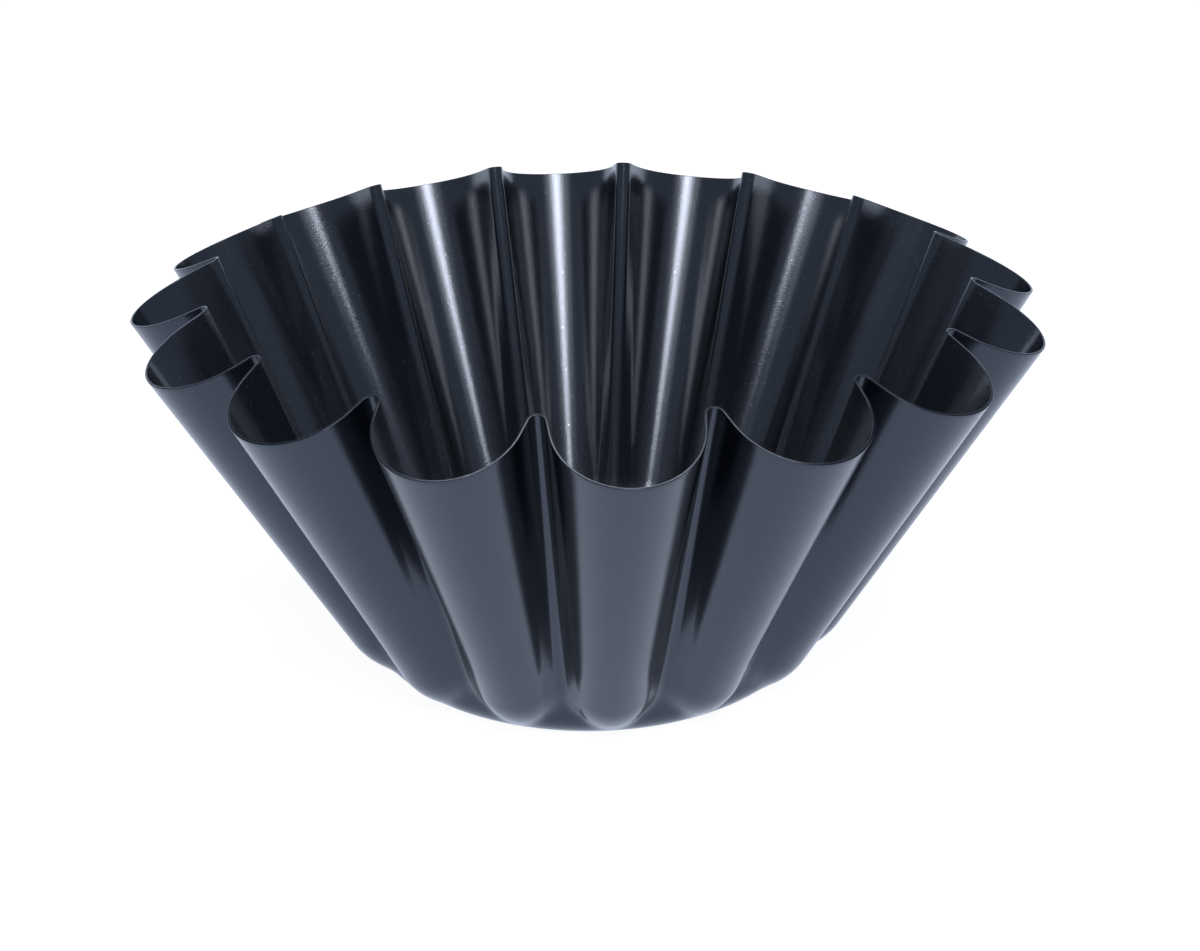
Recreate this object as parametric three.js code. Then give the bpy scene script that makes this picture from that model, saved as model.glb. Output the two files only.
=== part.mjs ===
// Fluted cake pan: one round steel blank pressed into sixteen flutes, with a release lining baked on
// inside and a heat-resisting coat outside. Millimetres, +Z up, origin under the middle of the base.
import * as THREE from "three";

// Rim: round lobes joined by tight inward folds, measured on the outside face.
const FLUTE_COUNT = 16;
const RIM_DIAMETER = 220; // across opposite lobes
const RIM_FLUTE_DEPTH = 18; // from the front of a lobe to the bottom of a fold
const RIM_FOLD_RADIUS = 1.7; // round bottom of a fold
const RIM_FLANK = 3.6; // straight run between the round of a lobe and the round of a fold

// Rim above the table. The sheet is folded and hardly stretched, so it reaches higher where it leans out
// less: from the middle of the base to the rim it is about 159 mm long, through a lobe or through a fold.
const LOBE_HEIGHT = 89.7;
const FOLD_HEIGHT = 98.2;

// Foot: a smaller outline of the same kind, on the table. Straight lines join the rim to it, and each of
// them rounds under before it gets there.
const FOOT_DIAMETER = 117.2; // across opposite lobes
const FOOT_FLUTE_DEPTH = 3.8;
const FOOT_FOLD_RADIUS = 3.6;
const FOOT_FLANK = 3.1;
const TOE_RADIUS = 24;

// Base: a level disc with a round, steep edge. The lobes grow out of this edge, and between two of them it
// stays bare as a small web, which fills the foot of the fold.
const FLOOR_DIAMETER = 101;
const EDGE_RADIUS = 6.4;
const EDGE_LEAN = THREE.MathUtils.degToRad(7); // outward, from upright
const WEB_CREASE = 1.6; // width over which the edge and a lobe run into each other

// Wall, from the outside in.
const OUTER_COAT = 0.04;
const STEEL_SHEET = 0.5;
const LINING = 0.04;

// Facets along the curves of half a flute.
const LOBE_STEPS = 4;
const FOLD_STEPS = 2;

// Depths of the layers' faces under the outside face.
const OUTSIDE = 0;
const STEEL_OUTSIDE = OUTER_COAT;
const STEEL_INSIDE = STEEL_OUTSIDE + STEEL_SHEET;
const INSIDE = STEEL_INSIDE + LINING;

// Rows along the sheet, from the edge of the level floor to the rim. The steel is cut short of the rim by
// one coat, because the outer coat goes over its cut edge.
const BEND_ROWS = [0, 1, 2, 3];
const STEEL_EDGE = 4;
const RIM = 5;

const PITCH = (2 * Math.PI) / FLUTE_COUNT;
const FLOOR_EDGE = FLOOR_DIAMETER / 2;
const UP = new THREE.Vector3(0, 0, 1);

const rimOutline = flutedOutline(RIM_DIAMETER / 2, RIM_FLUTE_DEPTH, RIM_FOLD_RADIUS, RIM_FLANK);
const footOutline = flutedOutline(FOOT_DIAMETER / 2, FOOT_FLUTE_DEPTH, FOOT_FOLD_RADIUS, FOOT_FLANK);
const toeTop = TOE_RADIUS * (1 - Math.cos(wallLine(0).slope));
const bendHeights = [0, EDGE_RADIUS * (1 - Math.SQRT1_2), EDGE_RADIUS, toeTop];

// Half a flute seen from above, with the front of its lobe on +X: the arc of the lobe, a straight flank and
// the arc of the fold. The flank touches both arcs, which sets the radius of the lobe. The sweep is the angle
// that the lobe turns through before the flank.
function flutedOutline(front, depth, foldRadius, flank) {
  const foldCentre = new THREE.Vector2(Math.cos(PITCH / 2), Math.sin(PITCH / 2));
  foldCentre.multiplyScalar(front - depth + foldRadius);
  const aside = foldCentre.clone().sub(new THREE.Vector2(front, 0));
  const lobeRadius = (aside.lengthSq() - foldRadius ** 2 - flank ** 2) / (2 * (foldRadius - aside.x));
  const lobeCentre = new THREE.Vector2(front - lobeRadius, 0);
  const apart = foldCentre.clone().sub(lobeCentre);
  const sweep = apart.angle() - Math.atan2(flank, lobeRadius + foldRadius);
  return { front, depth, lobeCentre, lobeRadius, foldCentre, foldRadius, sweep };
}

function onCircle(centre, radius, angle) {
  const point = new THREE.Vector2(Math.cos(angle), Math.sin(angle));
  return point.multiplyScalar(radius).add(centre);
}

// Point of an outline. Across runs over the lobe from 0 to 1, over the flank to 2 and over the fold to 3, and
// is negative on the other half of the flute.
function outlinePoint(outline, across) {
  const along = Math.abs(across);
  const { lobeCentre, lobeRadius, foldCentre, foldRadius, sweep } = outline;
  const foldTurn = THREE.MathUtils.lerp(sweep, PITCH / 2, Math.max(along - 2, 0));
  const point = onCircle(lobeCentre, lobeRadius, sweep * Math.min(along, 1));
  point.lerp(onCircle(foldCentre, -foldRadius, foldTurn), THREE.MathUtils.clamp(along - 1, 0, 1));
  point.y *= Math.sign(across);
  return point;
}

// Straight line up the wall, from the foot to the rim.
function wallLine(across) {
  const foot = outlinePoint(footOutline, across);
  const rim = outlinePoint(rimOutline, across);
  const lobeShare = 1 - (rimOutline.front - rim.length()) / rimOutline.depth;
  const height = THREE.MathUtils.lerp(FOLD_HEIGHT, LOBE_HEIGHT, lobeShare);
  const outward = rim.sub(foot);
  const slope = Math.atan2(height, outward.length());
  return { foot, outward: outward.normalize(), height, slope };
}

// How far a quarter round of this radius, which starts level on the table, has run out at a height.
function roundReach(radius, height) {
  return Math.sqrt(radius ** 2 - (radius - height) ** 2);
}

// Point of the fluted wall seen from above, at a height. Below the foot it runs in towards the axis.
function wallPoint({ foot, outward, slope }, height) {
  const inToe = Math.min(height, TOE_RADIUS * (1 - Math.cos(slope)));
  const toe = roundReach(TOE_RADIUS, inToe) - TOE_RADIUS * Math.tan(slope / 2);
  const run = toe + (height - inToe) / Math.tan(slope);
  const point = foot.clone();
  return run > 0 ? point.addScaledVector(outward, run) : point.setLength(foot.length() + run);
}

function baseRadius(height) {
  const inEdge = Math.min(height, EDGE_RADIUS);
  return FLOOR_EDGE + roundReach(EDGE_RADIUS, inEdge) + height * Math.tan(EDGE_LEAN);
}

// The outside face is whichever reaches out further, the fluted wall or the edge of the base.
function outsidePoint(line, height) {
  const point = wallPoint(line, height);
  const wall = point.length();
  const base = baseRadius(height);
  const crease = Math.max(WEB_CREASE - Math.abs(wall - base), 0);
  point.setLength(Math.max(wall, base) + crease ** 2 / (4 * WEB_CREASE));
  return new THREE.Vector3(point.x, point.y, height);
}

function rowHeight(line, row) {
  if (row === RIM) return line.height;
  if (row === STEEL_EDGE) return line.height - OUTER_COAT * Math.sin(line.slope);
  return bendHeights[row];
}

// Unit vector into the pan, square to the sheet.
function inwardNormal(across, height) {
  if (height === 0) return UP;
  const nudge = 1e-4;
  const line = wallLine(across);
  const along = outsidePoint(line, height + nudge);
  along.sub(outsidePoint(line, height - nudge));
  const around = outsidePoint(wallLine(across + nudge), height);
  around.sub(outsidePoint(wallLine(across - nudge), height));
  return along.cross(around).normalize();
}

// Places across one flute, from the bottom of one fold to just before the next.
function fluteColumns() {
  const half = [];
  for (let step = 1; step <= LOBE_STEPS; step++) {
    half.push(step / LOBE_STEPS);
  }
  for (let step = 0; step <= FOLD_STEPS; step++) {
    half.push(2 + step / FOLD_STEPS);
  }
  const before = half.map((across) => -across).reverse();
  return [...before, 0, ...half.slice(0, -1)];
}

// Ring of points round the whole pan, in one row and at one depth under the outside face.
function ring({ depth, row }) {
  const onePitch = fluteColumns().map((across) => {
    const line = wallLine(across);
    const height = rowHeight(line, row);
    return outsidePoint(line, height).addScaledVector(inwardNormal(across, height), depth);
  });
  const points = [];
  for (let copy = 0; copy < FLUTE_COUNT; copy++) {
    points.push(...onePitch.map((point) => point.clone().applyAxisAngle(UP, copy * PITCH)));
  }
  return points;
}

// Closed shell through a list of rings that starts under the floor, runs out and up the wall, turns over
// the rim and comes back down to the floor inside. Neighbouring layers split each face the same way.
function shell(stations) {
  const rings = stations.map(ring);
  const around = rings[0].length;
  const points = rings.flat();
  const under = points.push(new THREE.Vector3(0, 0, stations[0].depth)) - 1;
  const inside = points.push(new THREE.Vector3(0, 0, stations.at(-1).depth)) - 1;
  const triangles = [];
  for (let column = 0; column < around; column++) {
    const next = (column + 1) % around;
    const last = (rings.length - 1) * around;
    triangles.push(under, next, column, inside, last + column, last + next);
    for (let band = 0; band + 1 < rings.length; band++) {
      const here = band * around;
      const there = here + around;
      const corners = [here + column, here + next, there + next, there + column];
      triangles.push(...splitFace(corners, climbs(stations[band], stations[band + 1])));
    }
  }
  const geometry = new THREE.BufferGeometry().setFromPoints(points);
  geometry.setIndex(triangles);
  geometry.computeVertexNormals();
  return geometry;
}

function climbs(from, to) {
  return to.row > from.row || (to.row === from.row && to.depth > from.depth);
}

function splitFace([a, b, c, d], climbing) {
  return climbing ? [a, b, c, a, c, d] : [a, b, d, b, c, d];
}

// Stations up one face, and the same face taken down again.
function rise(depth, rows) {
  return rows.map((row) => ({ depth, row }));
}

function fall(depth, rows) {
  return rise(depth, rows).reverse();
}

function layer(name, stations, look) {
  const mesh = new THREE.Mesh(shell(stations), new THREE.MeshStandardMaterial(look));
  mesh.name = name;
  return mesh;
}

// Satin slate coat over the outside, the cut edge of the steel and up to the lining.
function outerCoat() {
  const stations = [
    ...rise(OUTSIDE, [...BEND_ROWS, RIM]),
    ...fall(STEEL_INSIDE, [STEEL_EDGE, RIM]),
    ...fall(STEEL_OUTSIDE, [...BEND_ROWS, STEEL_EDGE]),
  ];
  return layer("outer_coat", stations, { color: 0x2b313a, roughness: 0.3, metalness: 0.2 });
}

// The pressing itself, sealed between the two coats.
function steelPressing() {
  const stations = [
    ...rise(STEEL_OUTSIDE, [...BEND_ROWS, STEEL_EDGE]),
    ...fall(STEEL_INSIDE, [...BEND_ROWS, STEEL_EDGE]),
  ];
  return layer("steel_pressing", stations, { color: 0x8c9095, roughness: 0.4, metalness: 1 });
}

// Glossy near-black release lining over the whole inside, up to the top of the rim.
function releaseLining() {
  const stations = [
    ...rise(STEEL_INSIDE, [...BEND_ROWS, STEEL_EDGE, RIM]),
    ...fall(INSIDE, [...BEND_ROWS, RIM]),
  ];
  return layer("release_lining", stations, { color: 0x12151b, roughness: 0.18, metalness: 0.2 });
}

const pan = new THREE.Group();
pan.add(outerCoat(), steelPressing(), releaseLining());

export default pan;
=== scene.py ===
# %% [markdown]
# # A fluted cake pan
#
# The real pan starts as a flat, round steel blank. A press pushes it into a flared cup and gathers the spare
# sheet at the edge into sixteen round flutes. It is then coated: a glossy release lining inside, and a satin
# coat outside that also covers the cut edge.
#
# This script follows the same road. It builds a press out of Geometry Nodes, draws a flat strip of sheet for
# each layer, mixes the finishes, and presses the layers into sixteen flutes.

# %% Load the measured frame
import math

import bpy
from mathutils import Matrix, Vector


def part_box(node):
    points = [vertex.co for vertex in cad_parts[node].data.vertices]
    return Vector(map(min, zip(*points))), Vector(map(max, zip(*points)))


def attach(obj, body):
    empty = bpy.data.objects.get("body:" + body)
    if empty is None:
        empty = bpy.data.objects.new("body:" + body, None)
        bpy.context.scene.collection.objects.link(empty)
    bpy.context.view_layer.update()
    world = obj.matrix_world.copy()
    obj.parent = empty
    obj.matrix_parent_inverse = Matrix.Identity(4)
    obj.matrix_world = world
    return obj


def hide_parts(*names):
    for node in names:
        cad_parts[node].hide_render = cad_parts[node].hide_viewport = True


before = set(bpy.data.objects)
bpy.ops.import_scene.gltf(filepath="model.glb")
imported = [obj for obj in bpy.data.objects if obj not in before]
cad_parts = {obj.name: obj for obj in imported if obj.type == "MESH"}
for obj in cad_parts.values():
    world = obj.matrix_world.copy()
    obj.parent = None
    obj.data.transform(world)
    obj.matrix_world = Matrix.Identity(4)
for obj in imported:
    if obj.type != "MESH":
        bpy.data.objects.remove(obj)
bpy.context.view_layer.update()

coat_low, coat_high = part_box("outer_coat")
rim_radius = (coat_high.x - coat_low.x) / 2
print(f"Rim radius {rim_radius * 1000:.1f} mm, highest point {coat_high.z * 1000:.1f} mm")

# %% [markdown]
# ## Writing formulas as nodes
#
# A node tree is only a formula drawn with boxes. Long formulas are easier to read as text, so this small
# class wraps one socket: a plus sign between two wires adds a Math node, and `node` adds any other kind of
# node with its settings and its inputs. The same class serves the shape of the pan and its finishes.


# %% The wire class
class Wire:
    """A node socket that can stand in a Python sum."""

    def __init__(self, tree, socket=None):
        self.tree = tree
        self.socket = socket

    def node(self, kind, settings=None, inputs=None, out=0):
        """Adds any node: settings first, then each input as a value or a wire."""
        made = self.tree.nodes.new(kind)
        for name, value in (settings or {}).items():
            setattr(made, name, value)
        for name, value in (inputs or {}).items():
            if isinstance(value, Wire):
                self.tree.links.new(value.socket, made.inputs[name])
            else:
                made.inputs[name].default_value = value
        return Wire(self.tree, made.outputs[out]) if len(made.outputs) else made

    def other(self, name):
        """Another output of the same node."""
        return Wire(self.tree, self.socket.node.outputs[name])

    def maths(self, operation, *values):
        return self.node("ShaderNodeMath", {"operation": operation}, dict(enumerate(values)))

    def __add__(self, value):
        return self.maths("ADD", self, value)

    def __radd__(self, value):
        return self.maths("ADD", value, self)

    def __sub__(self, value):
        return self.maths("SUBTRACT", self, value)

    def __rsub__(self, value):
        return self.maths("SUBTRACT", value, self)

    def __mul__(self, value):
        return self.maths("MULTIPLY", self, value)

    def __rmul__(self, value):
        return self.maths("MULTIPLY", value, self)

    def __truediv__(self, value):
        return self.maths("DIVIDE", self, value)

    def __rtruediv__(self, value):
        return self.maths("DIVIDE", value, self)

    def sin(self):
        return self.maths("SINE", self)

    def cos(self):
        return self.maths("COSINE", self)

    def tan(self):
        return self.maths("TANGENT", self)

    def at_least(self, value):
        return self.maths("MAXIMUM", self, value)

    def at_most(self, value):
        return self.maths("MINIMUM", self, value)

    def clamped(self):
        """Kept between 0 and 1."""
        return self.at_least(0).at_most(1)

    def towards(self, value, share):
        """Part of the way from this wire to another value."""
        return self + (value - self) * share


print("Wires ready")

# %% [markdown]
# ## The sizes of the pressing
#
# The rim radius comes from the frame. The other sizes say how the sheet is drawn, in metres. The rim and the
# foot of the wall are two fluted outlines: round lobes, tight folds, and a short flat flank between them. The
# base is a level disc with a round, steep edge, and the lobes grow out of that edge.

# %% Name the sizes
FLUTES = 16
SIZES = {
    "Rim radius": rim_radius,
    "Rim flute depth": 0.018,
    "Rim fold radius": 0.0017,
    "Rim flank": 0.0036,
    "Lobe height": 0.0897,
    "Fold height": 0.0982,
    "Foot radius": 0.0586,
    "Foot flute depth": 0.0038,
    "Foot fold radius": 0.0036,
    "Foot flank": 0.0031,
    "Toe radius": 0.024,
    "Floor radius": 0.0505,
    "Edge radius": 0.0064,
    "Edge lean": math.tan(math.radians(7)),
    "Web crease": 0.0016,
}
COAT = 0.00004
STEEL = 0.0005
WALL = STEEL + 2 * COAT
print(f"{FLUTES} flutes, wall {WALL * 1000:.2f} mm thick")

# %% [markdown]
# ## Pressing a flat strip
#
# One flute of the pan begins as a flat strip of mesh with three plain coordinates. x is the place across the
# flute, from the middle of one fold (-1) through the middle of the lobe (0) to the next fold (1). y is the
# row: 0 in the middle of the floor, 1 where the floor ends and 2 at the rim. z is the depth under the outside
# face. A Set Position node then moves every point to its place on the pan. This keeps the mesh tidy, and a
# change of one size moves everything that depends on it.
#
# The functions below write the formula of the outside face. Straight lines join the rim to the foot, so the
# wall could be bent from flat sheet, and near the table each line rounds under. Low down, the sheet follows
# the wall or the edge of the base, whichever reaches out further. This gives the lobes their rounded ends and
# leaves a small web at the foot of each fold.


# %% Formula of a fluted outline
def length(x, y):
    return x.maths("SQRT", x * x + y * y)


def fluted_outline(size, which, across):
    """Place on an outline from above: the arc of a lobe, a flat flank and the arc of a fold, a third each."""
    front, depth = size[which + " radius"], size[which + " flute depth"]
    fold_radius, flank = size[which + " fold radius"], size[which + " flank"]
    half_pitch = math.pi / size["Flutes"]
    fold_centre = front - depth + fold_radius
    fold_x, fold_y = fold_centre * half_pitch.cos(), fold_centre * half_pitch.sin()
    behind = front - fold_x
    squares = behind * behind + fold_y * fold_y - fold_radius * fold_radius - flank * flank
    lobe_radius = squares / (2 * (behind + fold_radius))
    lobe_x = front - lobe_radius
    flank_turn = flank.maths("ARCTAN2", flank, lobe_radius + fold_radius)
    sweep = fold_y.maths("ARCTAN2", fold_y, fold_x - lobe_x) - flank_turn
    along = 3 * across.maths("ABSOLUTE", across)
    on_lobe = sweep * along.at_most(1)
    on_fold = sweep - (sweep - half_pitch) * (along - 2).at_least(0)
    off_lobe = (along - 1).clamped()
    x = (lobe_x + lobe_radius * on_lobe.cos()).towards(fold_x - fold_radius * on_fold.cos(), off_lobe)
    y = (lobe_radius * on_lobe.sin()).towards(fold_y - fold_radius * on_fold.sin(), off_lobe)
    return x, y * across.maths("SIGN", across)


print("Outline formula ready")


# %% Formula of the pressed sheet
def straight_line(size, across):
    """The straight line up the wall at one place across the flute."""
    foot_x, foot_y = fluted_outline(size, "Foot", across)
    rim_x, rim_y = fluted_outline(size, "Rim", across)
    lobe_share = 1 - (size["Rim radius"] - length(rim_x, rim_y)) / size["Rim flute depth"]
    height = size["Fold height"].towards(size["Lobe height"], lobe_share)
    run = length(rim_x - foot_x, rim_y - foot_y)
    return {
        "foot": (foot_x, foot_y),
        "outward": ((rim_x - foot_x) / run, (rim_y - foot_y) / run),
        "height": height,
        "slope": height.maths("ARCTAN2", height, run),
    }


def round_reach(radius, height):
    """How far a quarter round, which starts level on the table, has run out at a height."""
    return height.maths("SQRT", height * (2 * radius - height))


def sheet_point(size, line, row):
    """Point of the outside face in one row of a line."""
    slope, toe = line["slope"], size["Toe radius"]
    height = line["height"] * (row - 1).at_least(0)
    in_toe = height.at_most(toe * (1 - slope.cos()))
    run = round_reach(toe, in_toe) + (height - in_toe) / slope.tan() - toe * (slope * 0.5).tan()
    inward = run.at_most(0) / length(*line["foot"]) + 1
    x, y = (foot * inward + run.at_least(0) * way for foot, way in zip(line["foot"], line["outward"]))
    wall = length(x, y)
    in_edge = height.at_most(size["Edge radius"])
    base = size["Floor radius"] + round_reach(size["Edge radius"], in_edge) + height * size["Edge lean"]
    crease = (size["Web crease"] - wall.maths("ABSOLUTE", wall - base)).at_least(0)
    radius = wall.at_least(base) + crease * crease / (4 * size["Web crease"])
    grow = radius * row.at_most(1) / wall
    return row.node("ShaderNodeCombineXYZ", {}, {0: x * grow, 1: y * grow, 2: height})


print("Sheet formula ready")

# %% [markdown]
# ## The press as a node tree
#
# The tree asks the formula for three points: the point itself, one a little further across and one a little
# further up. The two steps lie in the sheet, so their cross product stands square to it, and the point sinks
# along it by its depth. The tiny upward nudge only matters in the middle of the floor, where a step across
# has no length.

# %% Sink a point into the sheet
STEP_ACROSS = 0.002
STEP_UP = 0.0002
UPWARD_NUDGE = (0, 0, 1e-14)


def vector_maths(operation, first, second):
    return first.node("ShaderNodeVectorMath", {"operation": operation}, {0: first, 1: second})


def sunk_point(size, across, row, depth):
    """A point of the pan, this deep under the outside face."""
    line = straight_line(size, across)
    beside = straight_line(size, across + STEP_ACROSS)
    point = sheet_point(size, line, row)
    step_up = vector_maths("SUBTRACT", sheet_point(size, line, row + STEP_UP), point)
    step_across = vector_maths("SUBTRACT", sheet_point(size, beside, row), point)
    square = vector_maths("CROSS_PRODUCT", step_up, step_across)
    square = vector_maths("ADD", square, UPWARD_NUDGE)
    inward = row.node("ShaderNodeVectorMath", {"operation": "NORMALIZE"}, {0: square})
    sunk = row.node("ShaderNodeVectorMath", {"operation": "SCALE"}, {0: inward, "Scale": depth})
    return vector_maths("ADD", point, sunk)


print(f"Normals from steps of {STEP_ACROSS} across and {STEP_UP} up")

# %% [markdown]
# ## Repeating the flute
#
# Sixteen turned copies of the pressed strip stand on the points of a line that has no length. They are made
# real and welded, so each layer is one closed mesh. All of it is shaded smooth, and only edges sharper than a
# press would leave are kept crisp. The last cell of this step puts the whole press together.

# %% Repeat and shade a flute
WELD = 1e-6
CRISP_ANGLE = math.radians(50)


def repeated_round(start, flutes, strip):
    """Turned copies of the strip round the axis, welded to each other."""
    stations = start.node("GeometryNodeMeshLine", {}, {"Count": flutes, "Offset": (0, 0, 0)})
    turn = start.node("GeometryNodeInputIndex") * (math.tau / flutes)
    copies = start.node(
        "GeometryNodeInstanceOnPoints",
        {},
        {
            "Points": stations,
            "Instance": strip,
            "Rotation": start.node("ShaderNodeCombineXYZ", {}, {2: turn}),
        },
    )
    whole = start.node("GeometryNodeRealizeInstances", {}, {"Geometry": copies})
    return start.node("GeometryNodeMergeByDistance", {}, {"Geometry": whole, "Distance": WELD})


def shaded(start, layer):
    """Smooth faces, with the sharp edges kept."""
    smooth = start.node("GeometryNodeSetShadeSmooth", {"domain": "FACE"}, {0: layer, "Shade Smooth": True})
    sharp = start.node("GeometryNodeInputMeshEdgeAngle")
    crisp = start.node("FunctionNodeCompare", {"operation": "GREATER_THAN"}, {0: sharp, 1: CRISP_ANGLE})
    return start.node(
        "GeometryNodeSetShadeSmooth",
        {"domain": "EDGE"},
        {0: smooth, "Selection": crisp, "Shade Smooth": False},
    )


print(f"Edges over {math.degrees(CRISP_ANGLE):.0f} degrees stay crisp")


# %% Build the press
def press_tree():
    tree = bpy.data.node_groups.new("Press and repeat a flute", "GeometryNodeTree")
    interface = tree.interface
    interface.new_socket("Flat strip", in_out="INPUT", socket_type="NodeSocketGeometry")
    interface.new_socket("Flutes", in_out="INPUT", socket_type="NodeSocketInt")
    for name in SIZES:
        interface.new_socket(name, in_out="INPUT", socket_type="NodeSocketFloat")
    interface.new_socket("Finish", in_out="INPUT", socket_type="NodeSocketMaterial")
    interface.new_socket("Layer", in_out="OUTPUT", socket_type="NodeSocketGeometry")

    start = Wire(tree).node("NodeGroupInput")
    size = {name: start.other(name) for name in ["Flutes", *SIZES]}
    place = start.node("ShaderNodeSeparateXYZ", {}, {0: start.node("GeometryNodeInputPosition")})
    pressed = start.node(
        "GeometryNodeSetPosition",
        {},
        {
            "Geometry": start.other("Flat strip"),
            "Position": sunk_point(size, place.other("X"), place.other("Y"), place.other("Z")),
        },
    )
    layer = shaded(start, repeated_round(start, size["Flutes"], pressed))
    finish = start.other("Finish")
    finished = start.node("GeometryNodeSetMaterial", {}, {"Geometry": layer, "Material": finish})
    start.node("NodeGroupOutput", {}, {"Layer": finished})
    return tree


press = press_tree()
print(f"The press has {len(press.nodes)} nodes")

# %% [markdown]
# ## Drawing the flat strip
#
# The strip needs close rows only where the sheet bends: round the edge of the base, where the lobes end, and
# round the rim. Up the straight wall a few rows will do. Across the flute, the tight fold gets nearly as many
# columns as the whole lobe.

# %% Rows and columns of the strip
FLOOR_ROWS = 4
EDGE_ROWS = 9
TOE_ROWS = 15
WALL_ROWS = 6
LOBE_COLUMNS = 14
FLANK_COLUMNS = 6
FOLD_COLUMNS = 10
CUT_RADIUS = 0.00016
LOBES_FREE = 0.022
WALL_SLOPE = math.radians(60)
UP_WALL = SIZES["Lobe height"] / math.sin(WALL_SLOPE)


def spaced(start, end, count):
    """Evenly spaced values from start up to, but not including, end."""
    return [start + (end - start) * step / count for step in range(count)]


def row_at(height):
    return 1 + height / SIZES["Lobe height"]


edge_turns = spaced(0, math.pi / 2, EDGE_ROWS)
cut_start = 2 - CUT_RADIUS / UP_WALL
below_cut = cut_start - 2 * WALL / UP_WALL
ROWS = [
    *spaced(0, 1, FLOOR_ROWS),
    *[row_at(SIZES["Edge radius"] * (1 - math.cos(turn))) for turn in edge_turns],
    *spaced(row_at(SIZES["Edge radius"]), row_at(LOBES_FREE), TOE_ROWS),
    *spaced(row_at(LOBES_FREE), below_cut, WALL_ROWS),
    below_cut,
    cut_start,
]
half_columns = [
    *spaced(0, 1 / 3, LOBE_COLUMNS),
    *spaced(1 / 3, 2 / 3, FLANK_COLUMNS),
    *spaced(2 / 3, 1, FOLD_COLUMNS),
    1.0,
]
COLUMNS = [-across for across in reversed(half_columns[1:])] + half_columns
print(f"Strip of {len(ROWS)} rows and {len(COLUMNS)} columns")

# %% [markdown]
# ## Three layers in one wall
#
# Each layer is a closed loop in the strip, from the middle of the base along its outer face, over the rim,
# and back along its inner face. The cut edge is a little rounded, because a coat always flows off a sharp
# corner. The outer coat wraps the edge, and the lining ends against it.

# %% Sections of the three layers
CUT_STEPS = 4


def up(depth):
    return [(row, depth) for row in ROWS]


def down(depth):
    return [(row, depth) for row in reversed(ROWS)]


def over_cut(depth):
    """From the outside face round the cut edge to the inside face, this far under the surface."""
    radius = CUT_RADIUS - depth
    turns = [math.pi / 2 * step / CUT_STEPS for step in range(CUT_STEPS + 1)]
    outer = [(math.sin(turn), CUT_RADIUS - radius * math.cos(turn)) for turn in turns[1:]]
    inner = [(math.cos(turn), WALL - CUT_RADIUS + radius * math.sin(turn)) for turn in turns]
    return [(cut_start + radius * rise / UP_WALL, sunk) for rise, sunk in outer + inner]


SECTIONS = {
    "outer_coat": up(0) + over_cut(0) + over_cut(COAT)[::-1] + down(COAT),
    "steel_pressing": up(COAT) + over_cut(COAT) + down(WALL - COAT)[1:],
    "release_lining": up(WALL - COAT) + down(WALL),
}
for name, section in SECTIONS.items():
    print(f"{name}: {len(section)} points in its section")

# %% [markdown]
# ## A sprayed and baked coat
#
# Both coats are sprayed on thinly and baked, so both are very slightly uneven: a fine orange-peel ripple, a
# few bright flakes, and soft clouds where the spray lay thicker. Noise makes the clouds and the ripple. The
# flakes are the middles of Voronoi cells, and a random number in each cell leaves most of them empty.


# %% Start a finish
def new_finish(name):
    material = bpy.data.materials.new(name)
    material.use_nodes = True
    tree = material.node_tree
    tree.nodes.clear()
    return material, Wire(tree)


def colour_mix(wire, factor, first, second):
    return wire.node(
        "ShaderNodeMix", {"data_type": "RGBA"}, {0: factor, 6: (*first, 1), 7: (*second, 1)}, out=2
    )


print("Ready to mix finishes")

# %% Mix a baked coat
CLOUD_SCALE = 45.0
CLOUD_SHARE = 0.7
CLOUD_GLOSS = 0.05
GRAIN_SCALE = 2600.0
GRAIN_GLOSS = 0.08
PEEL_HEIGHT = 0.0002
FLAKE_SCALE = 2600.0
EMPTY_CELLS = 0.97
EMPTY_EDGE = 60
FLAKE_RADIUS = 0.28
FLAKE_EDGE = 9


def flake_mask(wire, place):
    """1 on a flake and 0 beside it."""
    cells = wire.node(
        "ShaderNodeTexVoronoi", {"feature": "F1"}, {"Vector": place, "Scale": FLAKE_SCALE}, out="Distance"
    )
    lot = wire.node("ShaderNodeSeparateColor", {}, {0: cells.other("Color")})
    return ((lot - EMPTY_CELLS) * EMPTY_EDGE).clamped() * ((FLAKE_RADIUS - cells) * FLAKE_EDGE).clamped()


def baked_coat(name, dark, light, flake, roughness, peel, gloss_tint, ior):
    """A sprayed and baked coat: clouds, flakes and orange peel in object space."""
    material, wire = new_finish(name)
    place = wire.node("ShaderNodeTexCoord", {}, {}, out="Object")
    clouds = wire.node("ShaderNodeTexNoise", {}, {"Vector": place, "Scale": CLOUD_SCALE, "Detail": 3.0})
    grain = wire.node("ShaderNodeTexNoise", {}, {"Vector": place, "Scale": GRAIN_SCALE, "Detail": 2.0})
    flakes = flake_mask(wire, place)
    body = colour_mix(wire, clouds * CLOUD_SHARE + grain * (1 - CLOUD_SHARE), dark, light)
    colour = wire.node("ShaderNodeMix", {"data_type": "RGBA"}, {0: flakes, 6: body, 7: (*flake, 1)}, out=2)
    gloss = roughness + GRAIN_GLOSS * (grain - 0.5) + CLOUD_GLOSS * (clouds - 0.5)
    ripple = wire.node("ShaderNodeBump", {}, {"Strength": peel, "Distance": PEEL_HEIGHT, "Height": grain})
    shader = wire.node(
        "ShaderNodeBsdfPrincipled",
        {},
        {
            "Base Color": colour,
            "Metallic": flakes,
            "Roughness": gloss,
            "IOR": ior,
            "Specular Tint": (*gloss_tint, 1),
            "Normal": ripple,
        },
    )
    wire.node("ShaderNodeOutputMaterial", {}, {"Surface": shader})
    return material


print(f"Grain of about {1000 / GRAIN_SCALE:.1f} mm, clouds of about {1000 / CLOUD_SCALE:.0f} mm")

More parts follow.
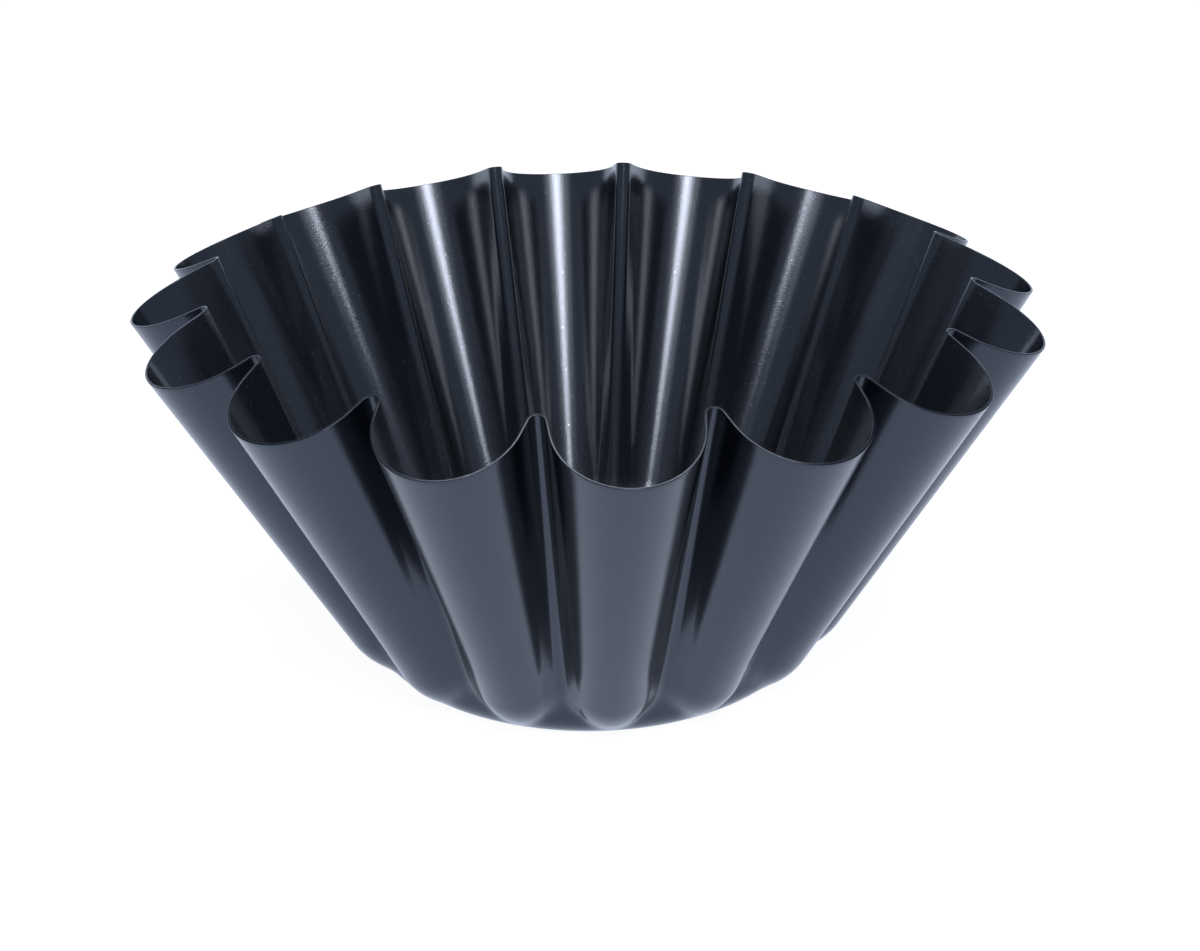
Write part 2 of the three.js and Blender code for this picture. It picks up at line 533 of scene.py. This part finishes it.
# %% [markdown]
# ## The outside finish
#
# The outside has a hard, satin coat of slate grey, with fine, dim flakes. Its own colour is almost black, and
# the grey is mostly the pale table seen in the gloss. So the coat gets a dark body and a fairly strong,
# slightly blue reflection.

# %% Mix the outside coat
satin_slate = baked_coat(
    "satin_slate_coat",
    dark=(0.002, 0.003, 0.005),
    light=(0.004, 0.006, 0.009),
    flake=(0.1, 0.11, 0.13),
    roughness=0.2,
    peel=0.1,
    gloss_tint=(0.76, 0.83, 1.0),
    ior=1.67,
)
print("Satin slate coat mixed")

# %% [markdown]
# ## The lining
#
# Inside, the release lining is glossier and close to black, with brighter flakes. Light bounces two or three
# times in a narrow flute. In the real pan, polarised light makes those bounces stronger than a renderer does,
# and a high IOR makes up for part of that.

# %% Mix the lining
black_lining = baked_coat(
    "black_release_lining",
    dark=(0.006, 0.007, 0.009),
    light=(0.014, 0.015, 0.019),
    flake=(0.6, 0.62, 0.66),
    roughness=0.155,
    peel=0.16,
    gloss_tint=(0.92, 0.95, 1.0),
    ior=2.13,
)
print("Lining mixed")

# %% [markdown]
# ## The steel
#
# The sheet is sealed between the coats, so nothing of it shows. It still gets a plain rolled finish, for
# anyone who takes the layers apart.

# %% Mix the steel
ROLLED_SCALE = 900.0
ROLLED_DARK = (0.42, 0.43, 0.45)
ROLLED_LIGHT = (0.55, 0.56, 0.58)
SMOOTHEST = 0.3
ROUGHER_BY = 0.2


def rolled_steel():
    """Cold-rolled sheet under the coats."""
    material, wire = new_finish("rolled_steel")
    place = wire.node("ShaderNodeTexCoord", {}, {}, out="Object")
    grain = wire.node("ShaderNodeTexNoise", {}, {"Vector": place, "Scale": ROLLED_SCALE, "Detail": 3.0})
    colour = colour_mix(wire, grain, ROLLED_DARK, ROLLED_LIGHT)
    shader = wire.node(
        "ShaderNodeBsdfPrincipled",
        {},
        {"Base Color": colour, "Roughness": SMOOTHEST + ROUGHER_BY * grain, "Metallic": 1.0},
    )
    wire.node("ShaderNodeOutputMaterial", {}, {"Surface": shader})
    return material


plain_steel = rolled_steel()
print(f"Steel mixed, with a grain of about {1000 / ROLLED_SCALE:.1f} mm")

# %% [markdown]
# ## Pressing the three layers
#
# Each layer is drawn as a flat strip, gets the press as a modifier, and is then turned into a plain mesh. The
# pressed piece takes the place of the frame's own faceted solid, which is the same shape with fewer faces.


# %% Draw and press one layer
def flat_strip(name, section):
    points = [(across, travel, depth) for travel, depth in section for across in COLUMNS]
    width = len(COLUMNS)
    faces = []
    for row in range(len(section) - 1):
        for column in range(width - 1):
            here = row * width + column
            faces.append((here, here + 1, here + width + 1, here + width))
    mesh = bpy.data.meshes.new(name + "_strip")
    mesh.from_pydata(points, [], faces)
    return mesh


def pressed_layer(name, finish):
    piece = bpy.data.objects.new("pressed_" + name, flat_strip(name, SECTIONS[name]))
    bpy.context.scene.collection.objects.link(piece)
    modifier = piece.modifiers.new("Press", "NODES")
    modifier.node_group = press
    values = {**SIZES, "Flutes": FLUTES, "Finish": finish}
    for socket in press.interface.items_tree:
        if socket.name in values:
            modifier[socket.identifier] = values[socket.name]
    evaluated = piece.evaluated_get(bpy.context.evaluated_depsgraph_get())
    mesh = bpy.data.meshes.new_from_object(evaluated)
    mesh.name = "pressed_" + name
    piece.modifiers.clear()
    piece.data = mesh
    return piece


print(f"Ready to press {len(SECTIONS)} layers")

# %% Press the three layers
LAYERS = {
    "outer_coat": (satin_slate, "outer_coat"),
    "steel_pressing": (plain_steel, "steel"),
    "release_lining": (black_lining, "lining"),
}
for node, (finish, slot) in LAYERS.items():
    layer = pressed_layer(node, finish)
    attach(layer, "root")
    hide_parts(node)
    triangles = sum(len(face.vertices) - 2 for face in layer.data.polygons)
    top = max(vertex.co.z for vertex in layer.data.vertices)
    print(f"{layer.name}: {triangles} triangles, {top * 1000:.2f} mm high")

# %% [markdown]
# ## The white table
#
# The pan stands on a wide white table, and behind it a sheet of paper bends up from the table, as a
# photographer's sweep does. The outside of the pan leans over the table, so most of what it mirrors is white,
# and the sides of the rim mirror the sweep. The paper is plain white to the camera and a little cooler in the
# gloss of the pan. It glows only where it is seen, directly or in the gloss, so it lights nothing by itself.

# %% White sweep
TABLE_REACH = 30.0
SWEEP_START = 1.5
SWEEP_REACH = 2.5
SWEEP_RADIUS = 0.8
SWEEP_TOP = 2.0
SWEEP_STEPS = 12


def sweep_mesh():
    """A level table, and a strip that starts flat on it and bends up."""
    table = [(-TABLE_REACH, 0), (TABLE_REACH, 0)]
    strip = []
    for step in range(SWEEP_STEPS + 1):
        turn = math.pi / 2 * step / SWEEP_STEPS
        strip.append((SWEEP_START + SWEEP_RADIUS * math.sin(turn), SWEEP_RADIUS * (1 - math.cos(turn))))
    strip.append((SWEEP_START + SWEEP_RADIUS, SWEEP_TOP))
    points, faces = [], []
    for section, reach in ((table, TABLE_REACH), (strip, SWEEP_REACH)):
        first = len(points)
        points += [(x, y, z) for y, z in section for x in (-reach, reach)]
        faces += [(low, low + 1, low + 3, low + 2) for low in range(first, len(points) - 2, 2)]
    mesh = bpy.data.meshes.new("sweep")
    mesh.from_pydata(points, [], faces)
    return mesh


print(f"Sweep starts {SWEEP_START} m behind the pan")

# %% White paper
MATT_GREY = (0.25, 0.25, 0.25, 1)
WHITE_IN_GLOSS = (0.85, 0.95, 1.15)
WHITE_TO_CAMERA = (0.95, 0.95, 0.95)


def white_paper():
    """Matt paper that glows for the camera and in the gloss."""
    material, wire = new_finish("white_paper")
    path = wire.node("ShaderNodeLightPath", {}, {}, out="Is Camera Ray")
    seen = path.at_least(path.other("Is Glossy Ray")).at_least(path.other("Is Transmission Ray"))
    matt = wire.node("ShaderNodeBsdfDiffuse", {}, {"Color": MATT_GREY})
    white = colour_mix(wire, path, WHITE_IN_GLOSS, WHITE_TO_CAMERA)
    glow = wire.node("ShaderNodeEmission", {}, {"Color": white, "Strength": seen})
    both = wire.node("ShaderNodeAddShader", {}, {0: matt, 1: glow})
    wire.node("ShaderNodeOutputMaterial", {}, {"Surface": both})
    return material


sweep = bpy.data.objects.new("sweep", sweep_mesh())
bpy.context.scene.collection.objects.link(sweep)
sweep.data.materials.append(white_paper())
print(f"Sweep of {len(sweep.data.polygons)} faces set")

# %% [markdown]
# ## The camera
#
# The camera looks down into the pan from the front, as in the photograph. Its numbers come from fitting the
# rim, the folds and the outline of the pan to the picture.

# %% Camera
VIEW_TURN = math.radians(-4.74)
VIEW_DOWN = math.radians(24.39)
VIEW_ROLL = math.radians(-0.55)
VIEW_DISTANCE = 0.537
VIEW_SHIFT = 0.0106
AIM = Vector((-0.0005, 0.0, 0.0432))
LENS = 63.79
SENSOR_WIDTH = 36

turned = Matrix.Rotation(VIEW_TURN, 4, "Z")
facing = turned @ Matrix.Rotation(math.pi / 2 - VIEW_DOWN, 4, "X") @ Matrix.Rotation(VIEW_ROLL, 4, "Z")
back = facing.to_3x3() @ Vector((0, 0, 1))
camera = bpy.data.objects.new("camera", bpy.data.cameras.new("camera"))
camera.data.lens = LENS
camera.data.sensor_width = SENSOR_WIDTH
camera.data.shift_x = VIEW_SHIFT
camera.matrix_world = Matrix.Translation(turned @ AIM + back * VIEW_DISTANCE) @ facing
bpy.context.scene.collection.objects.link(camera)
bpy.context.scene.camera = camera
print(f"Camera at {tuple(round(value, 3) for value in camera.matrix_world.translation)}")

# %% [markdown]
# ## Soft light from above the camera
#
# Only the middle of each far flute tips back enough to mirror a lamp that hangs above the camera, and this
# draws one bright streak down each of them. One soft box gives the streaks their width, a narrow one below it
# gives them a bright core, and a wide, weak one gives them soft sides. A narrow strip hangs over the pan,
# where the cut edge of the near rim mirrors it.

# %% Lights
LAMP_DISTANCE = 1.2
COOL_WHITE = (0.86, 0.9, 1)


def soft_box(name, side, elevation, size, watts, colour):
    """A soft box, turned round from the camera's side and up from the table, aimed at the pan."""
    light = bpy.data.lights.new(name, "AREA")
    light.shape = "RECTANGLE"
    light.size, light.size_y = size
    light.energy = watts
    light.color = colour
    lamp = bpy.data.objects.new(name, light)
    turn = Matrix.Rotation(VIEW_TURN + math.radians(side), 4, "Z")
    tip = Matrix.Rotation(math.pi / 2 - math.radians(elevation), 4, "X")
    aim = Vector((0, 0, SIZES["Lobe height"] / 2))
    lamp.matrix_world = Matrix.Translation(aim) @ turn @ tip @ Matrix.Translation((0, 0, LAMP_DISTANCE))
    bpy.context.scene.collection.objects.link(lamp)
    return lamp


lamps = [
    soft_box("main_box", side=8, elevation=51.6, size=(0.54, 0.38), watts=2.7, colour=COOL_WHITE),
    soft_box("core_box", side=8, elevation=46.8, size=(0.25, 0.53), watts=2.25, colour=COOL_WHITE),
    soft_box("wide_box", side=6, elevation=53, size=(1.15, 0.54), watts=1.5, colour=(0.86, 0.92, 1)),
    soft_box("top_strip", side=180, elevation=84, size=(0.9, 0.2), watts=4.0, colour=(1, 1, 1)),
]
print(f"{len(lamps)} soft boxes, {sum(lamp.data.energy for lamp in lamps):.2f} W")

# %% [markdown]
# ## The dim room
#
# Everything that mirrors neither the table nor a lamp shows the room. A dim, cool blue keeps the lining dark.

# %% Room
ROOM_BLUE = (0.55, 0.7, 1.0, 1)
ROOM_LIGHT = 0.24

world = bpy.data.worlds.new("studio")
bpy.context.scene.world = world
world.use_nodes = True
background = world.node_tree.nodes["Background"]
background.inputs["Color"].default_value = ROOM_BLUE
background.inputs["Strength"].default_value = ROOM_LIGHT
bpy.context.scene.view_settings.view_transform = "Standard"
print(f"Room light {ROOM_LIGHT}")
